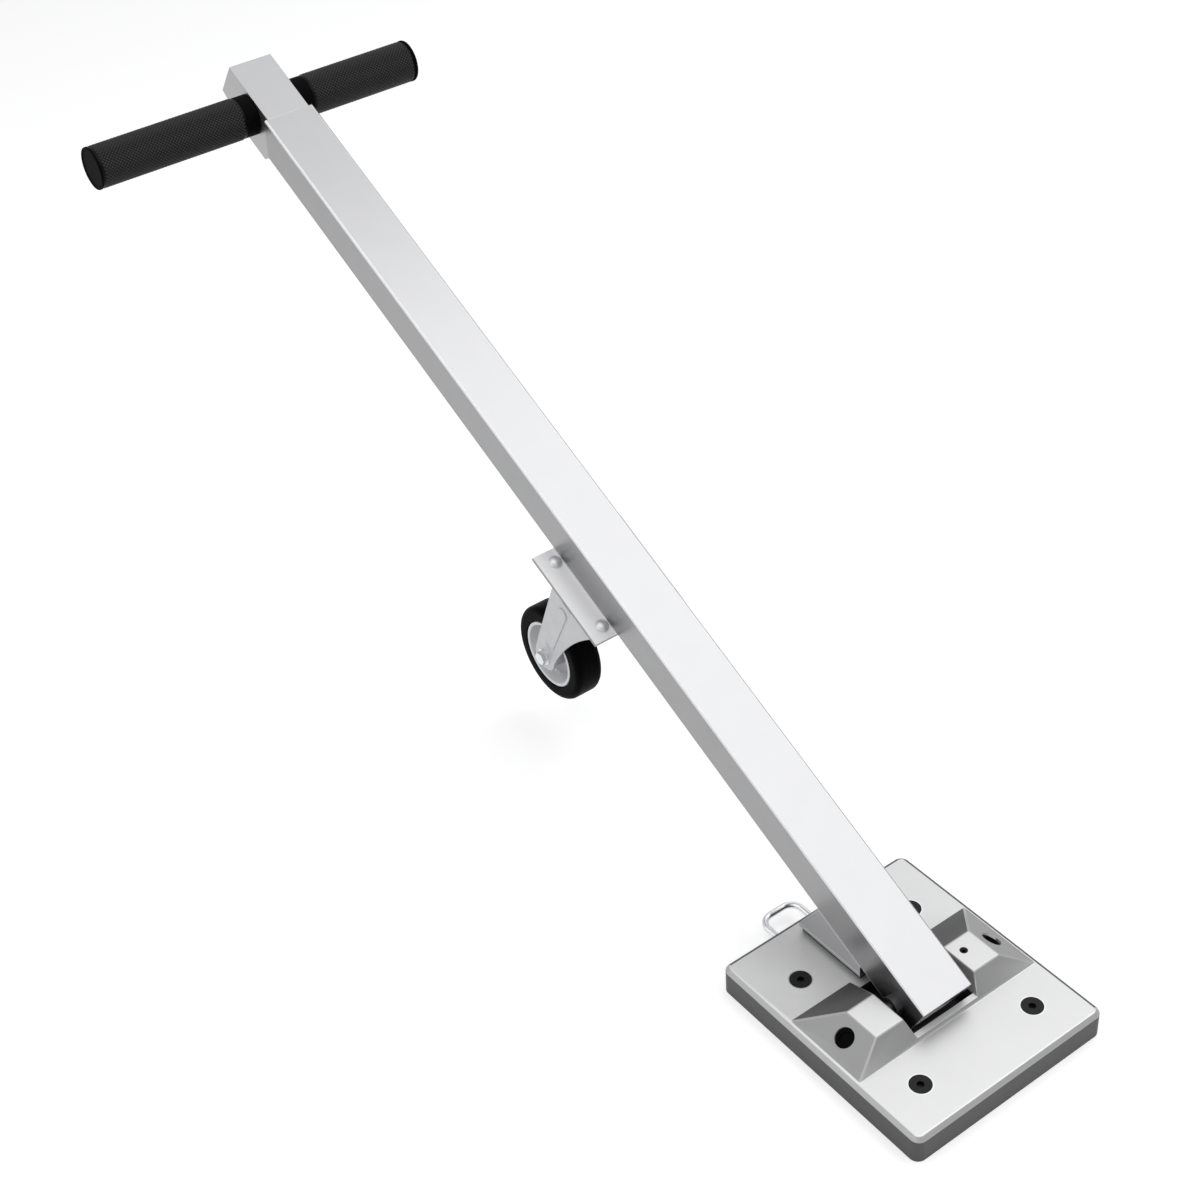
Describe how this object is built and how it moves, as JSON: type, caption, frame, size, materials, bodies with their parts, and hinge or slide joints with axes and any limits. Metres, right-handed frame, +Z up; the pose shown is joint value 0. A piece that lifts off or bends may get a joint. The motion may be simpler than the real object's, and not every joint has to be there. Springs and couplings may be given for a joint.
{
  "type": "manhole cover lifter",
  "caption": "Magnetic manhole cover lifter: a flat magnet base with a hinged box-section lever, a swivel caster as the fulcrum and a cross handle with knurled grips.",
  "frame": {"origin": "middle of the magnet face, under the base plate", "axes": "+Z up from the magnet face, X along the hinge pin and the cross handle, +Y the way the lever leans at rest"},
  "size_m": [0.2935, 0.9081, 0.4582],
  "materials": {
    "base_metal": "satin machined",
    "yoke_steel": "plain",
    "magnet_nickel": "nickel plated",
    "cover_steel": "fine brushed",
    "black_steel": "black oxide",
    "bright_steel": "bright zinc",
    "lever_metal": "polished satin",
    "bronze": "sintered",
    "black_rubber": "matte",
    "grip_rubber": "knurled",
    "grip_plastic": "fine matte",
    "caster_zinc": "blue zinc",
    "rim_plastic": "satin",
    "bush_nylon": "natural",
    "tyre_rubber": "satin"
  },
  "bodies": {
    "base": {"base_plate": "base_metal", "front_yoke": "yoke_steel", "rear_yoke": "yoke_steel", "front_magnets": "magnet_nickel", "rear_magnets": "magnet_nickel", "front_cover_sheet": "cover_steel", "rear_cover_sheet": "cover_steel", "magnet_screws": "black_steel", "pivot_pin": "bright_steel", "pin_set_screw": "black_steel", "pin_caps": "grip_plastic", "tether_loop": "bright_steel"},
    "lever": {"lever_tube": "lever_metal", "pivot_sleeve": "black_steel", "pivot_bushes": "bronze", "heel_cheeks": "lever_metal", "heel_sole": "lever_metal", "heel_pad": "black_rubber", "lever_head": "lever_metal", "crossbar": "bright_steel", "left_grip": "grip_rubber", "right_grip": "grip_rubber", "grip_collars": "grip_plastic", "grip_end_plugs": "grip_plastic", "caster_mount_plate": "lever_metal", "caster_bracket": "caster_zinc", "caster_top_plate": "caster_zinc", "caster_bolts": "bright_steel", "caster_nuts": "bright_steel", "upper_race": "caster_zinc", "kingpin": "bright_steel", "kingpin_nut": "bright_steel"},
    "caster": {"caster_fork": "caster_zinc", "swivel_balls": "bright_steel", "axle_bolt": "bright_steel", "axle_nut": "bright_steel", "axle_sleeve": "bright_steel"},
    "wheel": {"wheel_rim": "rim_plastic", "wheel_bush": "bush_nylon", "tyre": "tyre_rubber"}
  },
  "joints": [
    {"name": "lever_pivot", "type": "hinge", "parent": "base", "child": "lever", "pos_m": [0, -0.0095, 0.031], "axis": [1, 0, 0], "range_deg": [0, 23]},
    {"name": "caster_swivel", "type": "hinge", "parent": "lever", "child": "caster", "pos_m": [0, 0.35329, 0.15914], "axis": [0, -0.4509, 0.8926], "continuous": true},
    {"name": "wheel_spin", "type": "hinge", "parent": "caster", "child": "wheel", "pos_m": [0, 0.40421, 0.07764], "axis": [1, 0, 0], "continuous": true}
  ]
}
